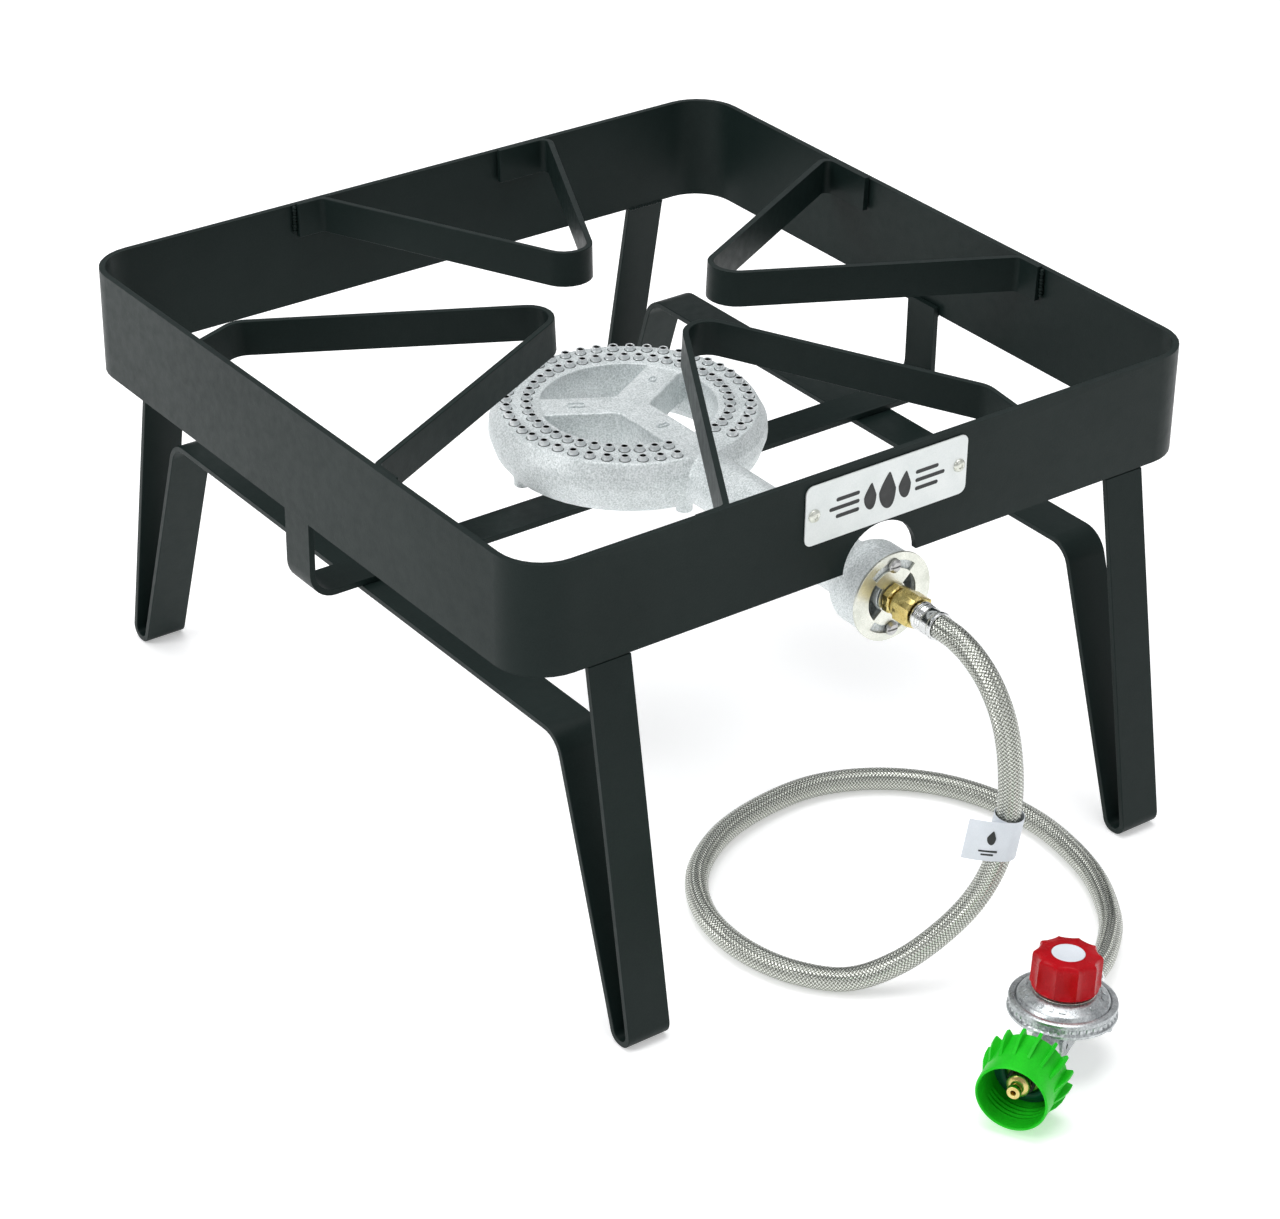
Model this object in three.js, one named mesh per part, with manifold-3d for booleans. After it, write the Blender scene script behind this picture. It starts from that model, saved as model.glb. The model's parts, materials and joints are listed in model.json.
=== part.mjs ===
// Propane burner stand: a square steel frame on four bent-strap feet, four hairpin pot supports,
// a cast ring burner on a cross bar, and a braided gas hose that ends in an adjustable regulator.
// Millimetres, +Z up. The origin is on the floor under the middle of the frame, the gas comes in
// at the front (-Y), and +X is to the right.
import * as THREE from 'three';
import { mergeVertices } from 'three/addons/utils/BufferGeometryUtils.js';
import Module from 'manifold-3d';

const wasm = await Module();
wasm.setup();

// ---------------------------------------------------------------- driving dimensions
const GAP = 0.3;                 // clearance kept between touching pieces
const STEEL = 3.2;               // thickness of every flat bar
const TOP = 253;                 // height of the band's top edge

const band = { side: 406.4, height: 57.5, corner: 26 };
band.half = band.side / 2;
band.inner = band.half - STEEL;
band.bottom = TOP - band.height;

const leg = { x: 157.5, width: 24, footY: 237, railZ: 146, kneeY: 178, footWidth: 12 };
const crossBar = { width: 22, z: leg.railZ + STEEL + GAP, bend: 13 };
const hairpin = { height: 19, bend: 5, kink: 12, nose: 13 };
// The two ways a hairpin's arm meets its wall, as corners [along the wall, out from it, bend radius].
const tab = (end, arm) => [[end, GAP + STEEL / 2], [arm, GAP + STEEL / 2, hairpin.bend]];
const butt = (end, arm) => [[end, 3 * GAP], [arm, 24.5, hairpin.kink]];
// For each wall: both ends of its hairpin, where its nose stands, how high its arms are at the wall
// relative to the band's top edge, and how far they climb towards the nose.
const supports = {
  front: { ends: [tab(-106, -89), butt(86, 87.5)], nose: 4, reach: 147, top: -2, rise: 9 },
  right: { ends: [tab(-89, -73), tab(52, 88)], nose: -5, reach: 149, top: 1.2, rise: 5.8 },
  back: { ends: [tab(-76, -60), tab(54, 88)], nose: 5, reach: 150, top: 1.2, rise: 5.8 },
  left: { ends: [tab(-90, -73), butt(88, 95)], nose: 1, reach: 150, top: -2, rise: 9 },
};

const burner = { top: band.bottom, radius: 72.3, eye: 46, depth: 28, ports: [[63, 41], [52.5, 40]] };
burner.bottom = burner.top - burner.depth;
const tube = { z: TOP - 71.7, radius: 14.5, bore: 11, bell: 21.8, bellBore: 18.6, face: -212.2 };
const shutter = { radius: 23.3, thickness: 1.2, screwCircle: 17, travel: 34 };
shutter.back = tube.face - GAP;
shutter.front = shutter.back - shutter.thickness;

const plate = { x: 1.7, z: TOP - 19.2, width: 98, height: 31.5, rivetSpacing: 88, thickness: 0.8 };
const hose = { radius: 6, sides: 8, steps: 56 };

// The regulator lies beside the stand, propped on its nut, so that its outlet end dips. Its own +X is
// the outlet, -X the cylinder nut.
const regulator = { x: -4.6, y: -354.2, z: -4.8, turn: 29, dip: 4.5, axisZ: 22.2 };
const rim = { radius: 24.6, cover: 25.9, bottom: 28.2, top: 31.8 };
const knob = { bottom: 43.2, top: 60.6, radius: 15.6, lobe: 1.0, lobes: 10 };
// The loose nut hangs a little out of line on the nipple's collar; its X runs along its own axis.
const nut = { collar: -50, droop: 5, mouth: -20.5, rear: 6.5, bore: 16.2, rim: 17.4, rib: 21.2, ribs: 16 };
const pivot = { x: -12, z: 18 };

// ---------------------------------------------------------------- materials
const paint = (color, roughness, metalness) => () =>
  new THREE.MeshStandardMaterial({ color, roughness, metalness });
const blackPaint = paint(0x2c3533, 0.5, 0.3);
const castAluminium = paint(0xb9bfc1, 0.55, 0.8);
const zinc = paint(0xd3d8cf, 0.35, 0.9);
const brass = paint(0xb8963c, 0.35, 0.9);
const chrome = paint(0xc8cccd, 0.15, 1.0);
const steel = paint(0x9a9da0, 0.35, 0.9);
const braid = paint(0xa9aba6, 0.4, 0.8);
const redPlastic = paint(0xbe1423, 0.35, 0.0);
const greenPlastic = paint(0x1edc28, 0.4, 0.0);
const darkPlastic = paint(0x173c26, 0.6, 0.0);
const rubber = paint(0x1d1d1d, 0.9, 0.0);
const plateMetal = paint(0xdfe4e2, 0.4, 0.6);
const paper = paint(0xf2f2ee, 0.8, 0.0);

// ---------------------------------------------------------------- solids
// A closed three.js geometry as a manifold solid with its faces turned outwards.
function solid(geometry) {
  const bare = new THREE.BufferGeometry();
  bare.setAttribute('position', geometry.getAttribute('position'));
  bare.setIndex(geometry.getIndex());
  const merged = mergeVertices(bare, 1e-4);
  const vertProperties = new Float32Array(merged.getAttribute('position').array);
  const index = merged.getIndex().array;
  const point = (i) => new THREE.Vector3().fromArray(vertProperties, 3 * i);
  let triangles = [];
  let volume = 0;
  for (let i = 0; i < index.length; i += 3) {
    const [a, b, c] = [index[i], index[i + 1], index[i + 2]];
    if (a === b || b === c || c === a) continue;
    triangles.push([a, b, c]);
    volume += point(a).dot(point(b).cross(point(c)));
  }
  if (volume < 0) triangles = triangles.map(([a, b, c]) => [a, c, b]);
  const triVerts = new Uint32Array(triangles.flat());
  return new wasm.Manifold(new wasm.Mesh({ numProp: 3, vertProperties, triVerts }));
}

function toGeometry(manifold) {
  const mesh = manifold.getMesh();
  const geometry = new THREE.BufferGeometry();
  geometry.setAttribute('position', new THREE.BufferAttribute(new Float32Array(mesh.vertProperties), 3));
  geometry.setIndex(new THREE.BufferAttribute(new Uint32Array(mesh.triVerts), 1));
  return geometry;
}

const join = (...solids) => solids.reduce((a, b) => a.add(b));
const cut = (body, ...tools) => tools.reduce((a, b) => a.subtract(b), body);

function box(x, y, z) {
  const size = [x[1] - x[0], y[1] - y[0], z[1] - z[0]];
  const geometry = new THREE.BoxGeometry(...size);
  return solid(geometry.translate((x[0] + x[1]) / 2, (y[0] + y[1]) / 2, (z[0] + z[1]) / 2));
}

// A rod between two values along one axis; centre gives the other two coordinates in X, Y, Z order.
function rod(axis, from, to, radius, centre, sides = 24, endRadius = radius) {
  const geometry = new THREE.CylinderGeometry(endRadius, radius, to - from, sides);
  geometry.translate(0, (from + to) / 2, 0);
  return solid(alongAxis(geometry, axis).translate(...place(axis, centre)));
}

// A body turned about an axis from [radius, distance along the axis] points of a closed profile.
function turned(axis, profile, centre, sides = 32) {
  const points = profile.map(([r, s]) => new THREE.Vector2(r, s));
  const onAxis = profile[0][0] === 0 && profile[profile.length - 1][0] === 0;
  if (!onAxis) points.push(points[0].clone());
  return solid(alongAxis(new THREE.LatheGeometry(points, sides), axis).translate(...place(axis, centre)));
}

function alongAxis(geometry, axis) {
  if (axis === 'z') geometry.rotateX(Math.PI / 2);
  if (axis === 'x') geometry.rotateZ(-Math.PI / 2);
  return geometry;
}

function place(axis, [a, b]) {
  return { x: [0, a, b], y: [a, 0, b], z: [a, b, 0] }[axis];
}

// A shape drawn in X and Y, raised between two heights.
function raised(points, from, to) {
  const shape = new THREE.Shape(points.map(([x, y]) => new THREE.Vector2(x, y)));
  const geometry = new THREE.ExtrudeGeometry(shape, { depth: to - from, bevelEnabled: false });
  return geometry.translate(0, 0, from);
}

// A hexagon of the given width across its flats.
const hexagon = (flats) => [0, 1, 2, 3, 4, 5].map((i) => {
  const angle = (i + 0.5) * Math.PI / 3;
  return [flats / Math.sqrt(3) * Math.cos(angle), flats / Math.sqrt(3) * Math.sin(angle)];
});

function hexAlongY(flats, from, to, x, z) {
  return solid(raised(hexagon(flats), from, to).rotateX(-Math.PI / 2).translate(x, 0, z));
}

function roundedRectangle(width, height, radius, steps) {
  const points = [];
  const corners = [[1, 1, 0], [-1, 1, 90], [-1, -1, 180], [1, -1, 270]];
  for (const [sx, sy, start] of corners) {
    for (let i = 0; i <= steps; i += 1) {
      const angle = THREE.MathUtils.degToRad(start + 90 * i / steps);
      points.push([
        sx * (width / 2 - radius) + radius * Math.cos(angle),
        sy * (height / 2 - radius) + radius * Math.sin(angle),
      ]);
    }
  }
  return points;
}

// A curved slot, centred on an angle in degrees, between two radii.
function arcSlot(inner, outer, middle, span, steps = 10) {
  const edge = (radius, from, to) => Array.from({ length: steps + 1 }, (_, i) => {
    const angle = THREE.MathUtils.degToRad(from + (to - from) * i / steps);
    return [radius * Math.cos(angle), radius * Math.sin(angle)];
  });
  return [
    ...edge(outer, middle - span / 2, middle + span / 2),
    ...edge(inner, middle + span / 2, middle - span / 2),
  ];
}

// ---------------------------------------------------------------- bent flat bar
// The centre line through [x, y, bend radius] corners, with each bend as an arc.
function bentLine(corners, steps = 8) {
  const line = [];
  corners.forEach(([x, y, radius], i) => {
    const here = new THREE.Vector2(x, y);
    if (!radius) {
      line.push(here);
      return;
    }
    const into = here.clone().sub(new THREE.Vector2(...corners[i - 1])).normalize();
    const out = new THREE.Vector2(...corners[i + 1]).sub(here).normalize();
    const turn = Math.acos(THREE.MathUtils.clamp(into.dot(out), -1, 1));
    const side = Math.sign(into.cross(out));
    const start = here.clone().addScaledVector(into, -radius * Math.tan(turn / 2));
    const centre = start.clone().add(new THREE.Vector2(-into.y, into.x).multiplyScalar(side * radius));
    for (let k = 0; k <= steps; k += 1) {
      line.push(start.clone().rotateAround(centre, side * turn * k / steps));
    }
  });
  return line;
}

// The outline of a bar of the given thickness along a centre line.
function barOutline(line, thickness) {
  const left = [];
  const right = [];
  line.forEach((point, i) => {
    const before = line[Math.max(i - 1, 0)];
    const after = line[Math.min(i + 1, line.length - 1)];
    const a = point.clone().sub(before).normalize();
    const b = after.clone().sub(point).normalize();
    const along = a.lengthSq() === 0 ? b : b.lengthSq() === 0 ? a : a.clone().add(b).normalize();
    const reach = thickness / 2 / Math.max(along.dot(a.lengthSq() === 0 ? b : a), 0.5);
    const across = new THREE.Vector2(-along.y, along.x).multiplyScalar(reach);
    left.push([point.x + across.x, point.y + across.y]);
    right.push([point.x - across.x, point.y - across.y]);
  });
  return [...left, ...right.reverse()];
}

const bentBar = (corners, thickness, from, to) => raised(barOutline(bentLine(corners), thickness), from, to);

// ---------------------------------------------------------------- the object
const object = new THREE.Group();
object.name = 'propane_burner_stand';

function add(parent, name, body, material) {
  const geometry = body instanceof THREE.BufferGeometry ? toGeometry(solid(body)) : toGeometry(body);
  const mesh = new THREE.Mesh(geometry, material());
  mesh.name = name;
  parent.add(mesh);
  return mesh;
}

// ---- frame
function bandFrame() {
  const outline = (size, radius) => raised(roundedRectangle(size, size, radius, 8), band.bottom, TOP);
  const ring = cut(
    solid(outline(band.side, band.corner)),
    solid(raised(
      roundedRectangle(band.side - 2 * STEEL, band.side - 2 * STEEL, band.corner - STEEL, 8),
      band.bottom - 1,
      TOP + 1,
    )),
  );
  const notch = rod('y', -band.half - 5, -band.inner + 5, 22.5, [0, band.bottom - 1], 40);
  const holes = [-1, 1].map((side) =>
    rod('y', -band.half - 5, -band.inner + 5, 1.8, [plate.x + side * plate.rivetSpacing / 2, plate.z], 12));
  return cut(ring, notch, ...holes);
}
add(object, 'band_frame', bandFrame(), blackPaint);

// A leg strap is one bar: down to the front foot, back up, along under the band, and the same behind.
function legStrap() {
  const topY = band.half - STEEL / 2;
  const side = (sign) => [
    [sign * topY, band.bottom - 2.5 * GAP],
    [sign * leg.footY, STEEL / 2, 5.5],
    [sign * (leg.footY - leg.footWidth), STEEL / 2, 5.5],
    [sign * leg.kneeY, leg.railZ, 14],
  ];
  const corners = [...side(-1), ...side(1).reverse()];
  return bentBar(corners, STEEL, -leg.width / 2, leg.width / 2);
}
for (const [name, sign] of [['leg_strap_left', -1], ['leg_strap_right', 1]]) {
  const strap = legStrap().rotateX(Math.PI / 2).rotateZ(Math.PI / 2).translate(sign * leg.x, 0, 0);
  add(object, name, strap, blackPaint);
}

function crossBarBody() {
  const x = band.inner - STEEL / 2 - 2 * GAP;
  const end = band.bottom + 5;
  const corners = [[-x, end], [-x, crossBar.z, crossBar.bend], [x, crossBar.z, crossBar.bend], [x, end]];
  const bar = bentBar(corners, STEEL, -crossBar.width / 2, crossBar.width / 2).rotateX(Math.PI / 2);
  return cut(solid(bar), rod('z', crossBar.z - 5, crossBar.z + 5, 3.4, [0, 0]));
}
add(object, 'cross_bar', crossBarBody(), blackPaint);

// A pot support is a hairpin standing on edge. Its nose stands a little higher than the band so that the
// pot bears there.
function potSupport({ ends, nose, reach, rise }) {
  const corners = [...ends[0], [nose, reach + 15.3, hairpin.nose], ...ends[1].toReversed()];
  return bentBar(corners, STEEL, -hairpin.height, 0).rotateX(Math.asin(rise / reach));
}

// Supports are described along the wall in +X or +Y, so those behind and at the left are mirrored first.
const mirrored = ({ ends, nose, ...rest }) => ({
  ends: ends.map((corners) => corners.map(([u, ...others]) => [-u, ...others])).reverse(), nose: -nose, ...rest,
});
for (const [quarter, side] of ['front', 'right', 'back', 'left'].entries()) {
  const support = quarter < 2 ? supports[side] : mirrored(supports[side]);
  const bar = potSupport(support).translate(0, -band.inner, TOP + support.top).rotateZ(quarter * Math.PI / 2);
  add(object, `pot_support_${side}`, bar, blackPaint);
}

// ---- name plate
const rivetX = [-1, 1].map((side) => plate.x + side * plate.rivetSpacing / 2);
const plateBack = -band.half - GAP;

function namePlate() {
  const outline = roundedRectangle(plate.width, plate.height, 4, 5);
  const blank = raised(outline, 0, plate.thickness).rotateX(Math.PI / 2);
  blank.translate(plate.x, plateBack, plate.z);
  const holes = rivetX.map((x) => rod('y', plateBack - 5, plateBack + 5, 1.9, [x, plate.z], 12));
  return cut(solid(blank), ...holes);
}
add(object, 'name_plate', namePlate(), plateMetal);

rivetX.forEach((x, i) => {
  const head = plateBack - plate.thickness - GAP;
  const tail = -band.inner + GAP;
  const profile = [
    [0, head - 1.7], [1.6, head - 1.5], [2.9, head - 0.9], [3.4, head],
    [1.5, head], [1.5, tail], [2.6, tail], [2.4, tail + 1.3], [0, tail + 1.5],
  ];
  add(object, `plate_rivet_${['left', 'right'][i]}`, turned('y', profile, [x, plate.z], 16), zinc);
});

// ---- burner
function burnerCasting() {
  const { top, bottom, radius, eye } = burner;
  const ring = turned('z', [
    [eye, top], [radius - 5, top], [radius - 4, top - 1.2], [radius - 0.3, top - 8], [radius, top - 14],
    [radius - 3, bottom + 5], [radius - 7, bottom], [eye + 4, bottom], [eye, bottom + 5],
  ], [0, 0], 56);
  const channel = turned('z', [
    [eye + 3.5, top - 5], [radius - 8, top - 5], [radius - 4, top - 11],
    [radius - 9.5, bottom + 4.5], [eye + 5.5, bottom + 4.5],
  ], [0, 0], 40);
  const spokes = [30, 150, 270].map((angle) => {
    const spoke = new THREE.BoxGeometry(eye + 2, 19, 18).translate((eye + 2) / 2, 0, top - 9.5);
    return solid(spoke.rotateZ(THREE.MathUtils.degToRad(angle)));
  });
  const post = rod('z', crossBar.z + STEEL / 2 + GAP, top - 1, 9.5, [0, 0], 24, 12);
  const lugs = [82, 172, 262, 352].map((angle) => {
    const a = THREE.MathUtils.degToRad(angle);
    return rod('z', bottom - 5, bottom + 4, 4.5, [61 * Math.cos(a), 61 * Math.sin(a)], 10);
  });
  const bell = turned('y', [
    [0, -50], [tube.radius, -50], [tube.radius, -180], [16.5, -186], [20, -191],
    [tube.bell, -195], [tube.bell, tube.face], [0, tube.face],
  ], [0, tube.z], 40);
  const bore = turned('y', [
    [0, -52], [tube.bore, -56], [tube.bore, -180], [tube.bellBore, -196],
    [tube.bellBore, tube.face + 3.5], [0, tube.face + 3.5],
  ], [0, tube.z], 32);
  const hub = rod('y', tube.face, tube.face + 9, 7.5, [0, tube.z]);
  const screwBosses = [-1, 1].map((s) =>
    rod('y', tube.face, tube.face + 8, 3.8, [0, tube.z + s * shutter.screwCircle], 16));
  const airways = [0, 180].map((angle) =>
    facePlate(arcSlot(8.6, 15, angle, 100), tube.face - 5, tube.face + 4));
  const orificeHole = rod('y', tube.face - 5, tube.face + 12, 4.2, [0, tube.z]);
  const screwHoles = [-1, 1].map((s) =>
    rod('y', tube.face - 5, tube.face + 7, 2.0, [0, tube.z + s * shutter.screwCircle], 12));
  const boltHole = rod('z', crossBar.z, crossBar.z + 26, 3.4, [0, 0]);

  let body = join(ring, ...spokes, post, ...lugs, bell);
  const nipples = [];
  const ports = [];
  for (const [circle, count] of burner.ports) {
    for (let i = 0; i < count; i += 1) {
      const a = THREE.MathUtils.degToRad(-69 + 326 * i / (count - 1));
      const centre = [circle * Math.cos(a), circle * Math.sin(a)];
      nipples.push(rod('z', top - 1, top + 2.6, 3.3, centre, 6, 2.1));
      ports.push(rod('z', top - 7, top + 4, 0.9, centre, 5));
    }
  }
  body = body.add(wasm.Manifold.union(nipples)).subtract(wasm.Manifold.union(ports));
  body = cut(body, channel, bore);
  return cut(join(body, hub, ...screwBosses), ...airways, orificeHole, ...screwHoles, boltHole);
}

// A shape drawn looking along +Y at the burner's face, as a block between two Y values.
function facePlate(points, from, to) {
  return solid(raised(points, -to, -from).rotateX(Math.PI / 2).translate(0, 0, tube.z));
}
add(object, 'burner_casting', burnerCasting(), castAluminium);

const barUnderside = crossBar.z - STEEL / 2;
const washer = turned('z', [
  [3.4, barUnderside - GAP], [7.5, barUnderside - GAP], [7.5, barUnderside - 1.6], [3.4, barUnderside - 1.6],
], [0, 0], 24);
add(object, 'mount_washer', washer, zinc);

const headTop = barUnderside - 1.6 - GAP;
const mountBolt = join(
  solid(raised(hexagon(10), headTop - 4.2, headTop)),
  rod('z', headTop - 0.1, crossBar.z + 24, 3, [0, 0]),
);
add(object, 'mount_bolt', mountBolt, zinc);

// ---- air shutter
function airShutter() {
  const disc = rod('y', shutter.front, shutter.back, shutter.radius, [0, tube.z], 56);
  const slot = (angle, inner, outer, span) =>
    facePlate(arcSlot(inner, outer, angle, span), shutter.front - 3, shutter.back + 3);
  return cut(
    disc,
    rod('y', shutter.front - 3, shutter.back + 3, 6.2, [0, tube.z]),
    ...[90, 270].map((angle) => slot(angle, 14.9, 19.1, 2 * shutter.travel + 18)),
    ...[0, 180].map((angle) => slot(angle, 8.4, 14.4, 84)),
  );
}
add(object, 'air_shutter', airShutter(), zinc);

for (const [name, s] of [['shutter_screw_top', 1], ['shutter_screw_bottom', -1]]) {
  const face = shutter.front - GAP;
  const profile = [
    [0, face - 2.2], [2.4, face - 2.0], [3.5, face - 1.1], [3.6, face],
    [1.6, face], [1.6, tube.face + 6], [0, tube.face + 6],
  ];
  const screw = turned('y', profile, [0, tube.z + s * shutter.screwCircle], 16);
  const slot = box([-3.2, 3.2], [face - 3, face - 1.2], [-0.45, 0.45]);
  add(object, name, cut(screw, slot.translate([0, 0, tube.z + s * shutter.screwCircle])), steel);
}

// ---- gas fittings in front of the shutter, each measured along Y
const fitting = { spudHex: [-214.2, -219], spudEnd: -226, nutFrom: -220.5, nutTo: -233.5, ferruleTo: -249 };

function orificeSpud() {
  const [hexTo, hexFrom] = fitting.spudHex;
  const body = turned('y', [
    [0, -200], [2.2, -200], [3, -204], [3.9, -204], [3.9, shutter.back], [5.6, shutter.back],
    [5.6, hexFrom + 1], [5.2, hexFrom + 1], [5.2, fitting.spudEnd + 2], [4, fitting.spudEnd],
    [0, fitting.spudEnd],
  ], [0, tube.z], 24);
  const bore = join(
    rod('y', fitting.spudEnd - 1, -204, 2, [0, tube.z], 16),
    rod('y', -205, -199, 0.6, [0, tube.z], 8),
  );
  return cut(join(body, hexAlongY(14.3, hexFrom, hexTo, 0, tube.z)), bore);
}
add(object, 'orifice_spud', orificeSpud(), brass);

function flareNut() {
  const { nutFrom, nutTo } = fitting;
  return cut(
    hexAlongY(15.9, nutTo, nutFrom, 0, tube.z),
    rod('y', nutTo + 4.5, nutFrom + 1, 6.1, [0, tube.z]),
    rod('y', nutTo - 1, nutTo + 5, 4.3, [0, tube.z]),
  );
}
add(object, 'flare_nut', flareNut(), brass);

const hoseStem = turned('y', [
  [1.8, fitting.spudEnd - GAP], [4, fitting.spudEnd - GAP], [5.7, fitting.spudEnd - 1.6],
  [5.7, fitting.nutTo + 4.8], [3.9, fitting.nutTo + 4.8], [3.9, fitting.nutTo - GAP],
  [3, fitting.nutTo - GAP], [3, fitting.ferruleTo], [1.8, fitting.ferruleTo],
], [0, tube.z], 24);
add(object, 'hose_stem', hoseStem, brass);

const crimp = (from, to) => [
  [3.4, from], [6.6, from], [7.2, from - 1], [7.2, from - 4], [6.9, from - 5], [6.9, to + 3],
  [7.3, to + 2], [7.3, to], [3.4, to],
];
const ferruleFrom = fitting.nutTo - 2 * GAP;
add(object, 'hose_ferrule', turned('y', crimp(ferruleFrom, fitting.ferruleTo), [0, tube.z], 24), chrome);

// ---- regulator
const unit = new THREE.Group();
unit.name = 'regulator';
unit.position.set(regulator.x, regulator.y, regulator.z);
unit.rotation.order = 'ZYX';
unit.rotation.z = THREE.MathUtils.degToRad(regulator.turn);
unit.rotation.y = THREE.MathUtils.degToRad(regulator.dip);
unit.updateMatrixWorld();
object.add(unit);

const onAxis = [0, regulator.axisZ];
const neck = { radius: 6.6, inlet: -40.5, outlet: 28, hex: 34, ferrule: 46 };

function regulatorBody() {
  const dish = turned('z', [
    [0, 21.5], [14, 21.5], [18, 24], [21.5, 27.6], [rim.radius, rim.bottom], [rim.radius, rim.top],
    [0, rim.top],
  ], [0, 0]);
  const cavity = turned('z', [
    [0, 23.5], [13, 23.5], [16.8, 25.8], [19.5, rim.top + 1], [0, rim.top + 1],
  ], [0, 0]);
  const trough = raised([[-20, -7.6], [14, -7.6], [14, 7.6], [-20, 7.6]], 12.8, 25);
  const well = box([-16, 5], [-5.9, 5.9], [15.2, 26]);
  const ports = [
    rod('x', neck.inlet, -17, neck.radius, onAxis, 24),
    rod('x', neck.inlet, -26.4, 8.4, onAxis, 24),
    rod('x', 8, neck.outlet, neck.radius, onAxis, 24),
  ];
  const nub = rod('z', 22, rim.bottom + 1, 2.3, [22 * Math.cos(-1.35), 22 * Math.sin(-1.35)], 12);
  const lugs = [-4.6, 4.6].map((y) => box([-14, -10], [y - 1.1, y + 1.1], [14, pivot.z + 2.3]));
  return cut(
    join(cut(join(dish, solid(trough), ...ports, nub), cavity, well), ...lugs),
    rod('y', -8, 8, 1.3, [pivot.x, pivot.z], 12),
    rod('x', neck.inlet - 1, -15, 4.6, onAxis, 24),
    rod('x', 4, neck.outlet + 1, 3, onAxis, 16),
  );
}
add(unit, 'regulator_body', regulatorBody(), castAluminium);

const seat = turned('x', [[0.8, -22], [4.3, -22], [4.3, -17], [2.2, -15.6], [0.8, -15.6]], onAxis, 24);
add(unit, 'valve_seat', seat, brass);

add(unit, 'lever_pin', rod('y', -5.6, 5.6, 1, [pivot.x, pivot.z], 12), steel);

function lever() {
  const arms = join(
    rod('y', -3, 3, 2.3, [pivot.x, pivot.z], 16),
    box([pivot.x - 2, pivot.x - 0.6], [-2.4, 2.4], [pivot.z, regulator.axisZ + 2]),
    box([pivot.x, 3], [-2.4, 2.4], [pivot.z - 0.8, pivot.z + 0.8]),
    rod('x', -15.3, pivot.x - 1.5, 2.6, onAxis, 16),
  );
  return cut(arms, rod('y', -8, 8, 1.2, [pivot.x, pivot.z], 12));
}
add(unit, 'valve_lever', lever(), steel);

const diaphragmZ = rim.top + GAP;
const diaphragm = turned('z', [
  [12.3, diaphragmZ], [24.4, diaphragmZ], [24.4, diaphragmZ + 0.8], [12.3, diaphragmZ + 0.8],
], [0, 0]);
add(unit, 'diaphragm', diaphragm, rubber);

const diaphragmPlate = turned('z', [
  [0, pivot.z + 1.1], [2.4, pivot.z + 1.1], [2.4, pivot.z + 2.3], [1.6, pivot.z + 2.3], [1.6, rim.top - 0.4],
  [12, rim.top - 0.4], [12, rim.top + 1.2], [0, rim.top + 1.2],
], [0, 0], 40);
add(unit, 'diaphragm_plate', diaphragmPlate, zinc);

const bonnetZ = diaphragmZ + 0.8 + GAP;
const bonnet = turned('z', [
  [rim.radius, bonnetZ], [rim.radius, bonnetZ + 2], [22.2, bonnetZ + 2], [20.8, 38], [16.5, 40.8],
  [10.5, 41.2], [8, 41.2], [8, 39.5], [15.5, 39], [18.8, 36.5], [20, bonnetZ],
], [0, 0]);
add(unit, 'bonnet', bonnet, castAluminium);
const bonnetNeck = turned('z', [[8, 41.2 + GAP], [10.5, 41.2 + GAP], [10.5, 54], [8, 54]], [0, 0], 40);
add(unit, 'bonnet_neck', bonnetNeck, castAluminium);

const ringTop = bonnetZ + 2 + GAP;
const crimpRing = turned('z', [
  [rim.radius + GAP, rim.bottom + 0.8], [rim.cover, rim.bottom + 0.8], [rim.cover, ringTop + 1],
  [22.6, ringTop + 1], [22.6, ringTop], [rim.radius + GAP, ringTop],
], [0, 0], 40);
add(unit, 'crimp_ring', crimpRing, zinc);

// ---- adjusting knob, with the plug that presses the spring button down inside the bonnet's neck
const plugBottom = 50;
const button = turned('z', [
  [0, plugBottom - GAP - 1.5], [7.4, plugBottom - GAP - 1.5], [7.4, plugBottom - GAP], [0, plugBottom - GAP],
], [0, 0], 32);
add(unit, 'spring_button', button, zinc);

function pressureSpring() {
  const wire = 0.75;
  const bottom = rim.top + 1.2 + GAP + wire;
  const top = plugBottom - 2 * GAP - 1.5 - wire;
  const turns = 5;
  const points = Array.from({ length: 12 * turns + 1 }, (_, i) => {
    const angle = i / 12 * 2 * Math.PI;
    const height = bottom + (top - bottom) * i / 12 / turns;
    return new THREE.Vector3(6.2 * Math.cos(angle), 6.2 * Math.sin(angle), height);
  });
  return sweep(new THREE.CatmullRomCurve3(points), wire, 5, 9 * turns);
}

// A round section carried along a curve.
function sweep(curve, radius, count, steps) {
  const section = Array.from({ length: count }, (_, i) => {
    const angle = 2 * Math.PI * i / count;
    return new THREE.Vector2(radius * Math.cos(angle), radius * Math.sin(angle));
  });
  const options = { steps, extrudePath: curve, bevelEnabled: false };
  return new THREE.ExtrudeGeometry(new THREE.Shape(section), options);
}
add(unit, 'pressure_spring', pressureSpring(), steel);

function adjustingKnob() {
  const outline = (radius) => Array.from({ length: 6 * knob.lobes }, (_, i) => {
    const angle = 2 * Math.PI * i / (6 * knob.lobes);
    const r = radius + knob.lobe * Math.cos(knob.lobes * angle);
    return [r * Math.cos(angle), r * Math.sin(angle)];
  });
  const grip = join(
    solid(raised(outline(knob.radius), knob.bottom + 2, knob.top - 1)),
    rod('z', knob.bottom, knob.bottom + 2.1, knob.radius + 0.9, [0, 0], 32),
    rod('z', knob.top - 1.1, knob.top, knob.radius - 0.2, [0, 0], 32, knob.radius - 1.2),
  );
  const hollow = rod('z', knob.bottom - 1, 57.5, 11, [0, 0], 28);
  const plug = rod('z', plugBottom, 58, 7.6, [0, 0], 24);
  const recess = rod('z', knob.top - 0.6, knob.top + 1, 8, [0, 0], 32);
  return cut(join(cut(grip, hollow), plug), recess);
}
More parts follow.
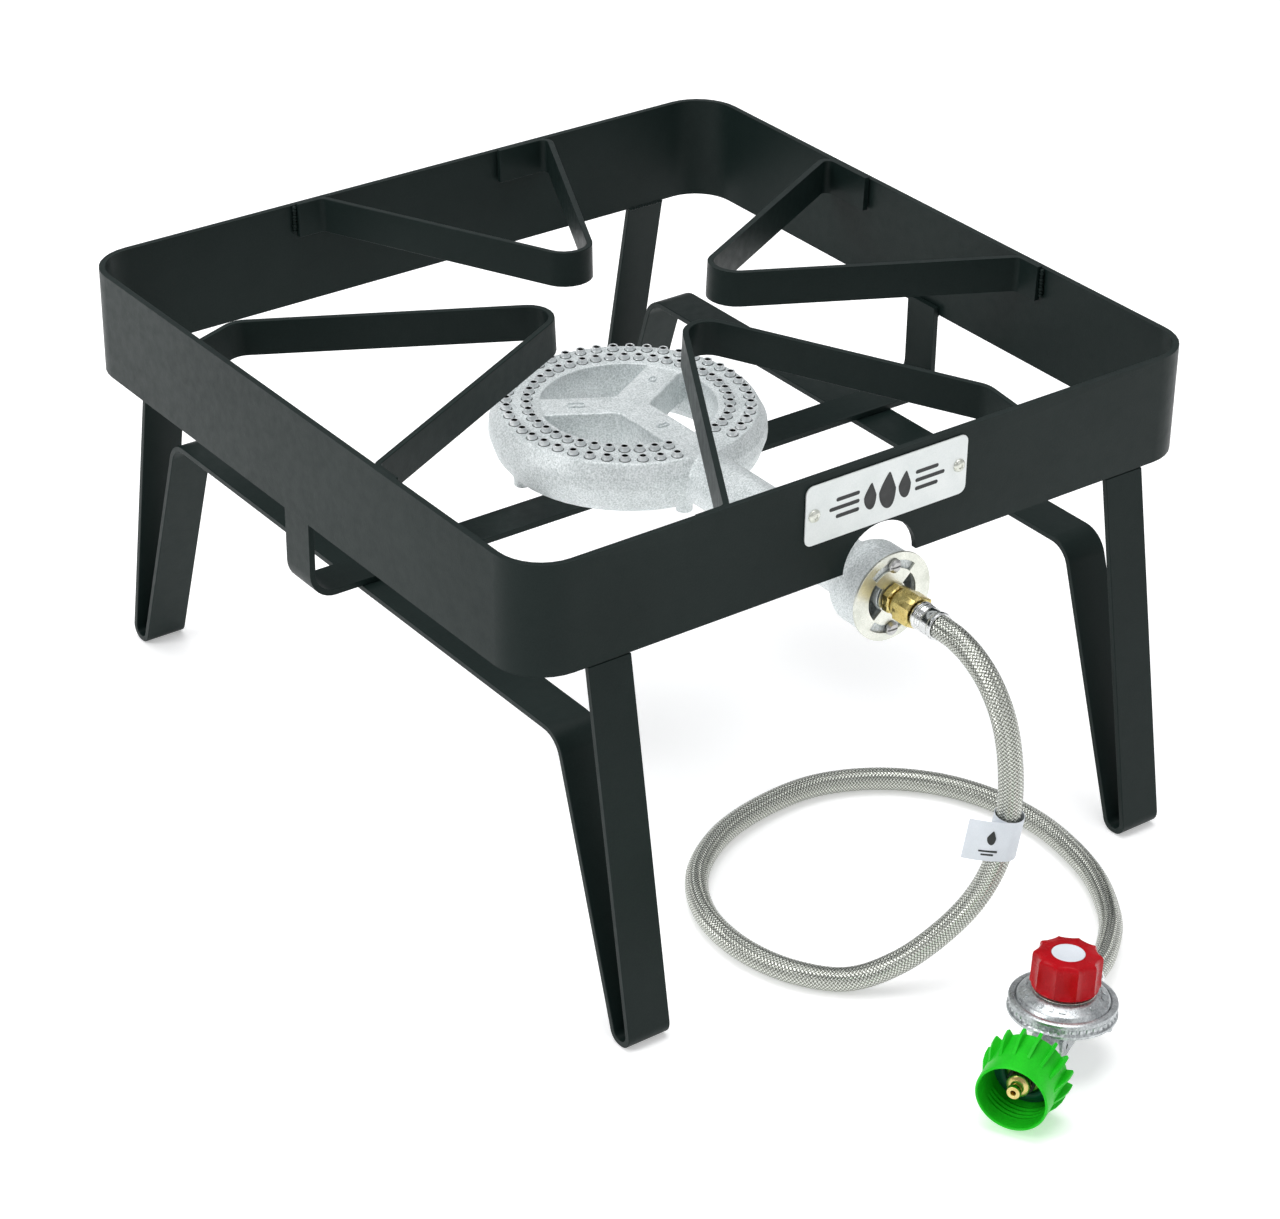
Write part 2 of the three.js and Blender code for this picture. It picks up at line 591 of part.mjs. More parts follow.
add(unit, 'adjusting_knob', adjustingKnob(), redPlastic);
add(unit, 'knob_disc', rod('z', knob.top - 0.3, knob.top + 0.3, 7.7, [0, 0], 32), paper);

// ---- cylinder connection
const tip = nut.collar + nut.mouth;
const nipple = turned('x', [
  [1.2, -23], [4.3, -23], [4.3, nut.collar + 1], [8.4, nut.collar + 1], [8.4, nut.collar - 1],
  [5.2, nut.collar - 1], [5.2, tip + 12], [3.2, tip + 8], [2.8, tip + 3], [1.2, tip + 3],
], onAxis, 28);
add(unit, 'inlet_nipple', nipple, brass);

const seal = turned('x', [[5.5, tip + 14], [6.9, tip + 14], [6.9, tip + 16], [5.5, tip + 16]], onAxis, 24);
add(unit, 'nipple_seal', seal, rubber);

const nutUnit = new THREE.Group();
nutUnit.name = 'nut_group';
nutUnit.position.set(nut.collar, 0, regulator.axisZ);
nutUnit.rotation.y = -THREE.MathUtils.degToRad(nut.droop);
unit.add(nutUnit);

function cylinderNut() {
  const { mouth, rear, bore, rim: edge, rib, ribs } = nut;
  const shell = turned('x', [
    [5.4, rear], [18.2, rear], [edge, mouth + 7], [edge, mouth + 0.8], [edge - 0.8, mouth], [bore, mouth],
    [bore, rear - 4.6], [5.4, rear - 4.6],
  ], [0, 0], 32);
  const teeth = Array.from({ length: ribs }, (_, i) => {
    const tooth = new THREE.Shape([
      new THREE.Vector2(rear, 17), new THREE.Vector2(rear, rib),
      new THREE.Vector2(rear - 5, rib - 0.2), new THREE.Vector2(mouth + 8, 17.2),
    ]);
    const block = new THREE.ExtrudeGeometry(tooth, { depth: 2.6, bevelEnabled: false });
    return solid(block.translate(0, 0, -1.3).rotateX(2 * Math.PI * (i + 0.5) / ribs));
  });
  return join(shell, ...teeth);
}
add(nutUnit, 'cylinder_nut', cylinderNut(), greenPlastic);

const bushingTo = nut.rear - 4.6 - GAP;
const bushing = turned('x', [
  [9.6, bushingTo], [14, bushingTo], [14, bushingTo - 1.2], [11, bushingTo - 3.4], [9.6, bushingTo - 3.4],
], [0, 0]);
add(nutUnit, 'nut_bushing', bushing, darkPlastic);

// ---- outlet and hose
const outletHex = new THREE.ExtrudeGeometry(
  new THREE.Shape(hexagon(15).map(([y, z]) => new THREE.Vector2(y, z))),
  { depth: neck.hex - neck.outlet - GAP, bevelEnabled: false },
);
outletHex.rotateY(Math.PI / 2).translate(neck.outlet + GAP, ...onAxis);
const outletFitting = cut(solid(outletHex), rod('x', neck.outlet, neck.hex + 1, 2.4, onAxis, 16));
add(unit, 'outlet_fitting', outletFitting, brass);

const outletFerrule = turned('x', [
  [2.4, neck.hex + GAP], [6.6, neck.hex + GAP], [7.2, neck.hex + 1.3], [7.2, neck.hex + 4],
  [6.9, neck.hex + 5],
  [6.9, neck.ferrule - 3], [7.3, neck.ferrule - 2], [7.3, neck.ferrule], [2.4, neck.ferrule],
], onAxis, 24);
add(unit, 'outlet_ferrule', outletFerrule, chrome);

const outletPoint = (s) => unit.localToWorld(new THREE.Vector3(s, 0, regulator.axisZ)).toArray();
const lie = hose.radius + GAP;
const route = [
  [0, fitting.ferruleTo - GAP, tube.z], [0, -252, tube.z], [0, -261, 180.6], [0, -273, 176.8],
  [0, -285.5, 168.5], [0, -296, 155], [0, -302.5, 136], [0, -304.5, 110], [-2, -301.5, 82],
  [-7, -293.5, 56], [-17, -283.5, 35], [-34, -272, 17], [-54, -259, 7.6], [-71, -238, lie],
  [-80, -208, lie], [-77, -175, lie], [-60, -145, lie], [-29, -123, lie], [7, -113.5, lie],
  [41, -114, lie], [71, -127, lie], [94, -149, lie], [108, -177, lie], [113, -208, lie],
  [110, -238, lie], [103, -262, lie], [91, -284, lie + 1], [75, -304, lie + 4],
  outletPoint(64), outletPoint(56), outletPoint(neck.ferrule + GAP),
];
const routePoints = route.map((point) => new THREE.Vector3(...point));
const hoseCurve = new THREE.CatmullRomCurve3(routePoints, false, 'centripetal');
add(object, 'braided_hose', sweep(hoseCurve, hose.radius, hose.sides, hose.steps), braid);

// A paper flag folded round the falling stretch of the hose, with its leaf to the left.
function hoseTag() {
  const loop = (radius) => Array.from({ length: 13 }, (_, i) => {
    const angle = Math.PI * (0.5 - 1.9 * i / 12);
    return [radius * Math.cos(angle), radius * Math.sin(angle)];
  });
  const leaf = -20;
  const outline = [[leaf, 8.2], ...loop(8.2), ...loop(7.6).reverse(), [leaf, 7.6]];
  const up = hoseCurve.getTangentAt(0.1545).negate();
  const across = new THREE.Vector3(0.81, -0.59, 0).cross(up).cross(up).negate().normalize();
  const basis = new THREE.Matrix4().makeBasis(across, up.clone().cross(across), up);
  basis.setPosition(hoseCurve.getPointAt(0.1545));
  return raised(outline, -11.5, 11.5).scale(1, -1, 1).applyMatrix4(basis);
}
add(object, 'hose_tag', hoseTag(), paper);

export default object;
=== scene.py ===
"""Looks of the propane burner stand: camera, hose, detailed pieces, materials, floor and lights."""
import json
import math

import bmesh
import bpy
from mathutils import Matrix, Vector


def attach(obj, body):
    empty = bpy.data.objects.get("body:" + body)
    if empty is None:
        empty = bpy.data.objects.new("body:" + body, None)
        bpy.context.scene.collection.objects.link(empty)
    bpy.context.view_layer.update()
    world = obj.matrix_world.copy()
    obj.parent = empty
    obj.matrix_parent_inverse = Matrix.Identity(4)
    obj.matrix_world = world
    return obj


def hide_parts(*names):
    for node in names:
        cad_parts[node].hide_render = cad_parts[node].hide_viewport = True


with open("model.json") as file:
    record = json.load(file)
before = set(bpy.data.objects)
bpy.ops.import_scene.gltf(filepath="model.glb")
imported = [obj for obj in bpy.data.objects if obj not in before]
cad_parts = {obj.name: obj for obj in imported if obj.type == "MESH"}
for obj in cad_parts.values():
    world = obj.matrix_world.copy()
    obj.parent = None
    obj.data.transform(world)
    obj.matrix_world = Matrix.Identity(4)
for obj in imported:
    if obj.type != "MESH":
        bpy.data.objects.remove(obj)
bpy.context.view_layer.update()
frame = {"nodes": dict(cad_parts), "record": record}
MM = 0.001

# ---------------------------------------------------------------- driving dimensions, in millimetres
TOP = 253.0
TUBE_Z = TOP - 71.7
BURNER_TOP = 195.5
BURNER_PORTS = ((63.0, 41), (52.5, 40))
PORT_START, PORT_SWEEP = -69, 326
LEG_X = 157.5
LEG_WELD_HALF = 10.5
LEG_WELD_Y = 200.4
CROSS_BAR_WELD_X = 199.2
CROSS_BAR_WELD_HALF = 9.5
PLATE_MIDDLE = (1.7, TOP - 19.2)
RIVET_SPAN = 44.0
TAG_PLACE = 0.1545
HOSE_RADIUS = 6.0
HOSE_STEP = 1.5
LIE = 6.3  # height of the hose's middle where it lies on the floor
AXIS_Z = 22.2
NUT_COLLAR = -50.0
NUT_MOUTH = -20.5
NUT_REAR = 6.5

REGULATOR = (
    Matrix.Translation((-4.6, -354.2, -4.8))
    @ Matrix.Rotation(math.radians(29), 4, "Z")
    @ Matrix.Rotation(math.radians(4.5), 4, "Y")
)
INLET = REGULATOR @ Matrix.Translation((0, 0, AXIS_Z)) @ Matrix.Rotation(math.radians(90), 4, "Y")
NUT = (
    REGULATOR
    @ Matrix.Translation((NUT_COLLAR, 0, AXIS_Z))
    @ Matrix.Rotation(math.radians(-5), 4, "Y")
    @ Matrix.Rotation(math.radians(90), 4, "Y")
)
ALONG_Y = Matrix.Translation((0, 0, TUBE_Z)) @ Matrix.Rotation(math.radians(-90), 4, "X")


# ---------------------------------------------------------------- camera
def make_camera():
    """A long lens from the front left and above."""
    data = bpy.data.cameras.new("camera")
    data.lens = 99.36
    data.sensor_width = 36
    data.clip_end = 20
    camera = bpy.data.objects.new("camera", data)
    camera.location = (-0.9610, -1.3118, 1.0161)
    camera.rotation_euler = [math.radians(angle) for angle in (59.878, -0.650, -36.110)]
    bpy.context.collection.objects.link(camera)
    bpy.context.scene.camera = camera


make_camera()


# ---------------------------------------------------------------- materials
class Shader:
    """A Principled material whose nodes are added one after another."""

    def __init__(self, name, metallic, roughness, coordinates="Object"):
        self.material = bpy.data.materials.new(name)
        self.material.use_nodes = True
        self.tree = self.material.node_tree
        self.principled = self.tree.nodes["Principled BSDF"]
        self.principled.inputs["Metallic"].default_value = metallic
        self.principled.inputs["Roughness"].default_value = roughness
        self.place = self.node("ShaderNodeTexCoord").outputs[coordinates]
        self.normal = None

    def node(self, kind, **settings):
        made = self.tree.nodes.new(kind)
        for key, value in settings.items():
            setattr(made, key, value)
        return made

    def link(self, source, target):
        self.tree.links.new(source, target)

    def math(self, operation, a, b=0.0):
        made = self.node("ShaderNodeMath", operation=operation)
        for socket, value in zip(made.inputs, (a, b)):
            if isinstance(value, (int, float)):
                socket.default_value = value
            else:
                self.link(value, socket)
        return made.outputs[0]

    def noise(self, size_mm, detail=3.0, roughness=0.55):
        """Noise with lumps of about the given size."""
        made = self.node("ShaderNodeTexNoise")
        made.inputs["Scale"].default_value = 1 / (size_mm * MM)
        made.inputs["Detail"].default_value = detail
        made.inputs["Roughness"].default_value = roughness
        self.link(self.place, made.inputs["Vector"])
        return made.outputs["Fac"]

    def ramp(self, factor, stops):
        made = self.node("ShaderNodeValToRGB")
        elements = made.color_ramp.elements
        while len(elements) < len(stops):
            elements.new(0.5)
        for element, (position, colour) in zip(elements, stops):
            element.position = position
            element.color = (*colour, 1)
        self.link(factor, made.inputs["Fac"])
        return made.outputs["Color"]

    def colour(self, factor, stops):
        self.link(self.ramp(factor, stops), self.principled.inputs["Base Color"])

    def rough(self, factor, low, high):
        made = self.node("ShaderNodeMapRange")
        made.inputs["From Min"].default_value = 0.3
        made.inputs["From Max"].default_value = 0.7
        made.inputs["To Min"].default_value = low
        made.inputs["To Max"].default_value = high
        self.link(factor, made.inputs["Value"])
        self.link(made.outputs["Result"], self.principled.inputs["Roughness"])

    def bump(self, height, depth_mm, strength=1.0):
        """Adds a layer of relief over what is there."""
        made = self.node("ShaderNodeBump")
        made.inputs["Strength"].default_value = strength
        made.inputs["Distance"].default_value = depth_mm * MM
        self.link(height, made.inputs["Height"])
        if self.normal:
            self.link(self.normal, made.inputs["Normal"])
        self.normal = made.outputs["Normal"]
        self.link(self.normal, self.principled.inputs["Normal"])


def surface(name, metallic, low, high, grain_mm, depth_mm, rough, patch_mm=40.0, speckle=0.4, specular=0.5):
    """A finish with broad colour patches, fine grain and uneven gloss; speckle is the share of the grain."""
    shader = Shader(name, metallic, rough[0])
    patches = shader.noise(patch_mm, 4)
    grain = shader.noise(grain_mm, 3)
    share_of_patches = shader.math("MULTIPLY", patches, 1 - speckle)
    mixed = shader.math("ADD", share_of_patches, shader.math("MULTIPLY", grain, speckle))
    shader.colour(mixed, [(0.36, low), (0.64, high)])
    shader.rough(shader.noise(grain_mm * 6, 4), *rough)
    shader.bump(grain, depth_mm)
    shader.principled.inputs["Specular IOR Level"].default_value = specular
    return shader


def braid_material():
    """Two sets of wire bands crossing over and under each other, with painted shade in the gaps; UV is turns
    and millimetres of hose.
    """
    shader = Shader("woven_steel_wire", 1.0, 0.2, "UV")
    split = shader.node("ShaderNodeSeparateXYZ")
    shader.link(shader.place, split.inputs[0])
    around = shader.math("MULTIPLY", split.outputs["X"], 16)
    along = shader.math("MULTIPLY", split.outputs["Y"], 1 / 1.9)
    one = shader.math("ADD", around, along)
    two = shader.math("SUBTRACT", around, along)

    def band(across, length):
        """How high a band of wires stands, the fine wires in it, and its wave up and down."""
        inside = shader.math("FRACT", across)
        round_top = shader.math("SINE", shader.math("MULTIPLY", inside, math.pi))
        wires = shader.math("ABSOLUTE", shader.math("SINE", shader.math("MULTIPLY", inside, 4 * math.pi)))
        wave = shader.math("SINE", shader.math("MULTIPLY", length, math.pi))
        return round_top, wires, wave

    top_one, wires_one, wave_one = band(one, two)
    top_two, wires_two, wave_two = band(two, one)
    over = shader.math("GREATER_THAN", shader.math("MULTIPLY", wave_one, wave_two), 0.0)
    under = shader.math("SUBTRACT", 1.0, over)

    def choose(a, b):
        return shader.math("ADD", shader.math("MULTIPLY", a, over), shader.math("MULTIPLY", b, under))

    height = choose(top_one, top_two)
    wires = choose(wires_one, wires_two)
    relief = shader.math("ADD", shader.math("MULTIPLY", height, 0.75), shader.math("MULTIPLY", wires, 0.25))
    # The colour follows the relief: painted shade darkens the low gaps between bands and between the fine
    # wires, while the tops keep the steel's colour.
    shader.colour(
        relief, [(0.10, (0.04, 0.045, 0.03)), (0.50, (0.24, 0.25, 0.21)), (0.95, (0.80, 0.82, 0.77))])
    shader.bump(relief, 0.27, 1.0)
    return shader.material


def make_materials():
    cast = surface(
        "sand_cast_aluminium", 0.30, (0.50, 0.55, 0.55), (0.90, 0.94, 0.95), 0.9, 0.26, (0.40, 0.60), 14, 0.8)
    cast.bump(cast.noise(2.6, 2), 0.30)
    finishes = {
        "black": surface(
            "black_powder_coat", 0.0, (0.006, 0.0125, 0.0115), (0.010, 0.018, 0.0165), 0.9, 0.04,
            (0.36, 0.46), 90, 0.35, 0.13),
        "cast": cast,
        # The raised ports are painted lighter and glossier than the casting as a painted highlight on their
        # rims.
        "port": surface(
            "port_painted_highlight", 0.5, (0.66, 0.70, 0.71), (0.90, 0.92, 0.93), 0.8, 0.06, (0.26, 0.40), 6),
        # Dark painted shade for the foot of each port, standing in for the shadow round its base.
        "port_foot_shade": surface(
            "painted_port_foot_shade", 0.2, (0.05, 0.06, 0.06), (0.16, 0.18, 0.18), 0.8, 0.06, (0.6, 0.8), 6),
        "die": surface(
            "die_cast_zinc", 0.85, (0.30, 0.32, 0.33), (0.66, 0.69, 0.70), 1.0, 0.08, (0.24, 0.42), 7, 0.55),
        "zinc": surface(
            "zinc_plated_steel", 0.85, (0.58, 0.60, 0.53), (0.80, 0.81, 0.74), 0.7, 0.02, (0.24, 0.38), 12),
        "red": surface(
            "red_moulded_plastic", 0.0, (0.36, 0.003, 0.007), (0.50, 0.006, 0.012), 0.8, 0.03,
            (0.20, 0.30), 15, 0.4, 0.12),
        "green": surface(
            "green_moulded_plastic", 0.0, (0.010, 0.48, 0.012), (0.018, 0.62, 0.018), 0.8, 0.03,
            (0.32, 0.44), 15, 0.4, 0.15),
        "brass": surface(
            "turned_brass", 1.0, (0.50, 0.38, 0.12), (0.74, 0.62, 0.26), 0.5, 0.02, (0.20, 0.34), 6),
        "chrome": surface(
            "polished_chrome", 1.0, (0.58, 0.59, 0.59), (0.78, 0.79, 0.79), 0.6, 0.01, (0.10, 0.20), 9),
        "steel": surface(
            "plain_steel", 1.0, (0.38, 0.38, 0.38), (0.58, 0.58, 0.57), 0.6, 0.02, (0.26, 0.40), 9),
        "plate": surface(
            "satin_aluminium", 0.3, (0.72, 0.76, 0.75), (0.82, 0.85, 0.84), 0.6, 0.02, (0.38, 0.50), 20),
        "ink": surface(
            "dark_printed_ink", 0.0, (0.010, 0.012, 0.012), (0.020, 0.022, 0.022), 0.6, 0.01, (0.4, 0.6), 9),
        # Near-black painted shade for the inside of the port holes, standing in for the darkness down a
        # drilled hole.
        "port_hole_shade": surface(
            "painted_port_hole_shade", 0.0, (0.004, 0.004, 0.004), (0.012, 0.012, 0.011), 0.5, 0.02, (0.8, 0.95), 5,
            0.4, 0.1),
        "dark_green": surface(
            "dark_green_plastic", 0.0, (0.004, 0.060, 0.036), (0.008, 0.110, 0.066), 0.7, 0.03,
            (0.35, 0.5), 7),
        "rubber": surface(
            "black_rubber", 0.0, (0.012, 0.012, 0.012), (0.030, 0.030, 0.030), 0.6, 0.04, (0.6, 0.8), 6),
        "paper": surface(
            "white_label_stock", 0.0, (0.68, 0.72, 0.77), (0.76, 0.80, 0.85), 0.5, 0.02, (0.45, 0.6), 12,
            0.4, 0.2),
    }
    made = {name: shader.material for name, shader in finishes.items()}
    made["braid"] = braid_material()
    return made


MATERIALS = make_materials()


# ---------------------------------------------------------------- mesh helpers
def add_piece(name, mesh, material, body, nodes):
    """Puts a mesh in the row frame as the piece that stands for these CAD nodes."""
    piece = bpy.data.objects.new(name, mesh)
    bpy.context.collection.objects.link(piece)
    mesh.materials.append(MATERIALS[material])
    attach(piece, body)
    if nodes:
        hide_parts(*nodes)
    return piece


def mesh_from(name, built, smooth_angle=32):
    """A mesh from a bmesh in millimetres, smooth except over sharp edges."""
    mesh = bpy.data.meshes.new(name)
    bmesh.ops.transform(built, matrix=Matrix.Scale(MM, 4), verts=built.verts)
    built.to_mesh(mesh)
    built.free()
    mesh.polygons.foreach_set("use_smooth", [True] * len(mesh.polygons))
    mesh.set_sharp_from_angle(angle=math.radians(smooth_angle))
    return mesh


def body_name(node):
    """The CAD body that a node belongs to."""
    for body, nodes in frame["record"]["behaviour"]["bodies"].items():
        if node in nodes:
            return body
    raise ValueError(node)


def refined(node, material, bevel_mm=0.35, segments=2):
    """The CAD node's own shape with its flat faces whole and its edges rounded."""
    built = bmesh.new()
    built.from_mesh(frame["nodes"][node].data)
    bmesh.ops.remove_doubles(built, verts=built.verts, dist=2e-6)
    bmesh.ops.dissolve_limit(
        built, angle_limit=math.radians(0.8), verts=built.verts, edges=built.edges, delimit={"NORMAL"})
    bmesh.ops.transform(built, matrix=Matrix.Scale(1 / MM, 4), verts=built.verts)
    mesh = mesh_from(node, built)
    piece = add_piece(f"{node}_detail", mesh, material, body_name(node), [node])
    soften(piece, bevel_mm, segments)
    return piece


def soften(piece, bevel_mm, segments=2):
    """Rounds the sharp edges of a piece."""
    bevel = piece.modifiers.new("edges", "BEVEL")
    bevel.width = bevel_mm * MM
    bevel.segments = segments
    bevel.limit_method = "ANGLE"
    bevel.angle_limit = math.radians(32)
    bevel.harden_normals = True
    bevel.use_clamp_overlap = True


def revolve(built, profile, matrix, sides=72, shape=None, paint=None):
    """Turns [radius, height] points about Z, closing the profile on itself or on the axis.

    shape(angle, index, radius) may change the radius, for lobes, teeth and threads.
    paint holds a material index for each band between two points.
    """
    rings = []
    for index, (radius, height) in enumerate(profile):
        if radius == 0:
            rings.append([built.verts.new(matrix @ Vector((0, 0, height)))] * sides)
            continue
        ring = []
        for side in range(sides):
            angle = 2 * math.pi * side / sides
            r = shape(angle, index, radius) if shape else radius
            ring.append(built.verts.new(matrix @ Vector((r * math.cos(angle), r * math.sin(angle), height))))
        rings.append(ring)
    closed = profile[0][0] != 0 or profile[-1][0] != 0
    pairs = list(zip(rings, rings[1:] + rings[:1])) if closed else list(zip(rings, rings[1:]))
    for band, (low, high) in enumerate(pairs):
        for side in range(sides):
            corner = [low[side], low[(side + 1) % sides], high[(side + 1) % sides], high[side]]
            unique = list(dict.fromkeys(corner))
            if len(unique) > 2:
                face = built.faces.new(unique)
                face.material_index = paint[band] if paint else 0


def turned_piece(name, profile, matrix, material, nodes, sides=72, bevel_mm=0.2, shape=None, extra=None):
    """A lathe-turned piece; extra(built) adds more to its mesh."""
    built = bmesh.new()
    revolve(built, profile, matrix, sides, shape)
    if extra:
        extra(built)
    bmesh.ops.recalc_face_normals(built, faces=built.faces)
    mesh = mesh_from(name, built)
    piece = add_piece(name, mesh, material, body_name(nodes[0]), nodes)
    if bevel_mm:
        soften(piece, bevel_mm)
    return piece


def prism(built, outline, low, high, matrix):
    """A closed block over a flat outline between two heights; returns its vertices."""
    bottom = [built.verts.new(matrix @ Vector((x, y, low))) for x, y in outline]
    top = [built.verts.new(matrix @ Vector((x, y, high))) for x, y in outline]
    built.faces.new(bottom[::-1])
    built.faces.new(top)
    for i in range(len(outline)):
        j = (i + 1) % len(outline)
        built.faces.new((bottom[i], bottom[j], top[j], top[i]))
    return bottom + top


def rounded_outline(width, height, radius, centre=(0.0, 0.0), steps=8):
    points = []
    for sx, sy, start in ((1, 1, 0), (-1, 1, 90), (-1, -1, 180), (1, -1, 270)):
        for i in range(steps + 1):
            angle = math.radians(start + 90 * i / steps)
            x = centre[0] + sx * (width / 2 - radius) + radius * math.cos(angle)
            y = centre[1] + sy * (height / 2 - radius) + radius * math.sin(angle)
            points.append((x, y))
    return points


# ---------------------------------------------------------------- hose
def outlet_point(distance):
    return tuple(REGULATOR @ Vector((distance, 0, AXIS_Z)))


ROUTE = [
    (0, -249.3, TUBE_Z), (0, -252, TUBE_Z), (0, -261, 180.6), (0, -273, 176.8),
    (0, -285.5, 168.5), (0, -296, 155), (0, -302.5, 136), (0, -304.5, 110), (-2, -301.5, 82),
    (-7, -293.5, 56), (-17, -283.5, 35), (-34, -272, 17), (-54, -259, 7.6), (-71, -238, LIE),
    (-80, -208, LIE), (-77, -175, LIE), (-60, -145, LIE), (-29, -123, LIE), (7, -113.5, LIE),
    (41, -114, LIE), (71, -127, LIE), (94, -149, LIE), (108, -177, LIE), (113, -208, LIE),
    (110, -238, LIE), (103, -262, LIE), (91, -284, LIE + 1), (75, -304, LIE + 4),
    outlet_point(64), outlet_point(56), outlet_point(46.3),
]


def centripetal(points, per_span=40):
    """A centripetal Catmull-Rom curve through the points, as a fine polyline."""
    points = [Vector(point) for point in points]
    points = [points[0] * 2 - points[1], *points, points[-1] * 2 - points[-2]]
    line = []
    for p0, p1, p2, p3 in zip(points, points[1:], points[2:], points[3:]):
        t1 = (p1 - p0).length ** 0.5
        t2 = t1 + (p2 - p1).length ** 0.5
        t3 = t2 + (p3 - p2).length ** 0.5
        for i in range(per_span):
            t = t1 + (t2 - t1) * i / per_span
            a1 = p0 * ((t1 - t) / t1) + p1 * (t / t1)
            a2 = p1 * ((t2 - t) / (t2 - t1)) + p2 * ((t - t1) / (t2 - t1))
            a3 = p2 * ((t3 - t) / (t3 - t2)) + p3 * ((t - t2) / (t3 - t2))
            b1 = a1 * ((t2 - t) / t2) + a2 * (t / t2)
            b2 = a2 * ((t3 - t) / (t3 - t1)) + a3 * ((t - t1) / (t3 - t1))
            line.append(b1 * ((t2 - t) / (t2 - t1)) + b2 * ((t - t1) / (t2 - t1)))
    line.append(points[-2])
    return line


def even_steps(line, step):
    """The polyline again with points at even distances, and its length."""
    lengths = [0.0]
    for a, b in zip(line, line[1:]):
        lengths.append(lengths[-1] + (b - a).length)
    count = round(lengths[-1] / step)
    result = []
    k = 0
    for i in range(count + 1):
        target = lengths[-1] * i / count
        while k < len(line) - 2 and lengths[k + 1] < target:
            k += 1
        share = (target - lengths[k]) / (lengths[k + 1] - lengths[k])
        result.append(line[k].lerp(line[k + 1], min(share, 1.0)))
    return result, lengths[-1]


HOSE_LINE, HOSE_LENGTH = even_steps(centripetal(ROUTE), HOSE_STEP)


def make_hose(sides=28):
    """The hose as a tube whose UV counts turns across and millimetres along."""
    built = bmesh.new()
    uv = built.loops.layers.uv.new("UVMap")
    side = Vector((1, 0, 0))
    rings = []
    for i, here in enumerate(HOSE_LINE):
        along = (HOSE_LINE[min(i + 1, len(HOSE_LINE) - 1)] - HOSE_LINE[max(i - 1, 0)]).normalized()
        side = (side - along * side.dot(along)).normalized()
        up = along.cross(side)
        ring = []
        for k in range(sides):
            angle = 2 * math.pi * k / sides
            ring.append(built.verts.new(here + (side * math.cos(angle) + up * math.sin(angle)) * HOSE_RADIUS))
        rings.append(ring)
    step = HOSE_LENGTH / (len(rings) - 1)
    for i in range(len(rings) - 1):
        for k in range(sides):
            n = (k + 1) % sides
            face = built.faces.new((rings[i][k], rings[i][n], rings[i + 1][n], rings[i + 1][k]))
            places = ((k, i), (k + 1, i), (k + 1, i + 1), (k, i + 1))
            for loop, (u, v) in zip(face.loops, places):
                loop[uv].uv = (u / sides, v * step)
    for ring, flip in ((rings[0], True), (rings[-1], False)):
        built.faces.new(ring[::-1] if flip else ring)
    bmesh.ops.recalc_face_normals(built, faces=built.faces)
    return add_piece("gas_hose", mesh_from("gas_hose", built, 60), "braid", "base", ["braided_hose"])


hose_piece = make_hose()


# ---------------------------------------------------------------- steel frame
for frame_node in (
    "band_frame", "leg_strap_left", "leg_strap_right", "cross_bar",
    "pot_support_front", "pot_support_right", "pot_support_back", "pot_support_left",
):
    refined(frame_node, "black", 0.45, 3)


def weld_bead(name, points, radius, matrix=Matrix.Identity(4)):
    """A row of overlapping weld drops under the paint."""
    built = bmesh.new()
    for index, point in enumerate(points):
        size = radius * (1 + 0.12 * math.sin(2.3 * index))
        bmesh.ops.create_uvsphere(
            built, u_segments=10, v_segments=6, radius=size,
            matrix=matrix @ Matrix.Translation(Vector(point)) @ Matrix.Diagonal((1, 1, 0.75, 1)))
    return add_piece(name, mesh_from(name, built, 80), "black", "base", [])


def row(start, end, count):
    """Evenly spaced points from start to end."""
    start, end = Vector(start), Vector(end)
    return [start.lerp(end, i / (count - 1)) for i in range(count)]


for sign, side_name in ((-1, "left"), (1, "right")):
    for end_sign, end_name in ((-1, "front"), (1, "back")):
        y = end_sign * LEG_WELD_Y
        z = BURNER_TOP - 0.5
        drops = row((sign * LEG_X - LEG_WELD_HALF, y, z), (sign * LEG_X + LEG_WELD_HALF, y, z), 12)
        weld_bead(f"weld_leg_{side_name}_{end_name}", drops, 1.5)
    x = sign * CROSS_BAR_WELD_X
    z = BURNER_TOP - 0.3
    drops = row((x, -CROSS_BAR_WELD_HALF, z), (x, CROSS_BAR_WELD_HALF, z), 10)
    weld_bead(f"weld_cross_bar_{side_name}", drops, 1.6)


for weld_name, weld_x, weld_y, weld_top in (
    ("right", 198.7, -90.2, TOP + 0.2), ("back", -77.2, 198.7, TOP + 0.2),
    ("left", -199.2, 89.6, TOP - 4), ("front", 87.9, -199.2, TOP - 4),
):
    weld_bead(
        f"weld_pot_support_{weld_name}",
        row((weld_x, weld_y, weld_top - 1), (weld_x, weld_y, weld_top - 15), 9), 1.25)


def drop_outline(centre, size):
    """The outline of a small flame."""
    points = []
    for i in range(32):
        angle = 2 * math.pi * i / 32
        lean = 0.6 * math.sin(angle) ** 2
        width = 3.4 * math.cos(angle) * (1 - 0.62 * max(math.sin(angle), 0)) + lean
        points.append((centre[0] + size * width, centre[1] + size * 6.4 * math.sin(angle)))
    return points


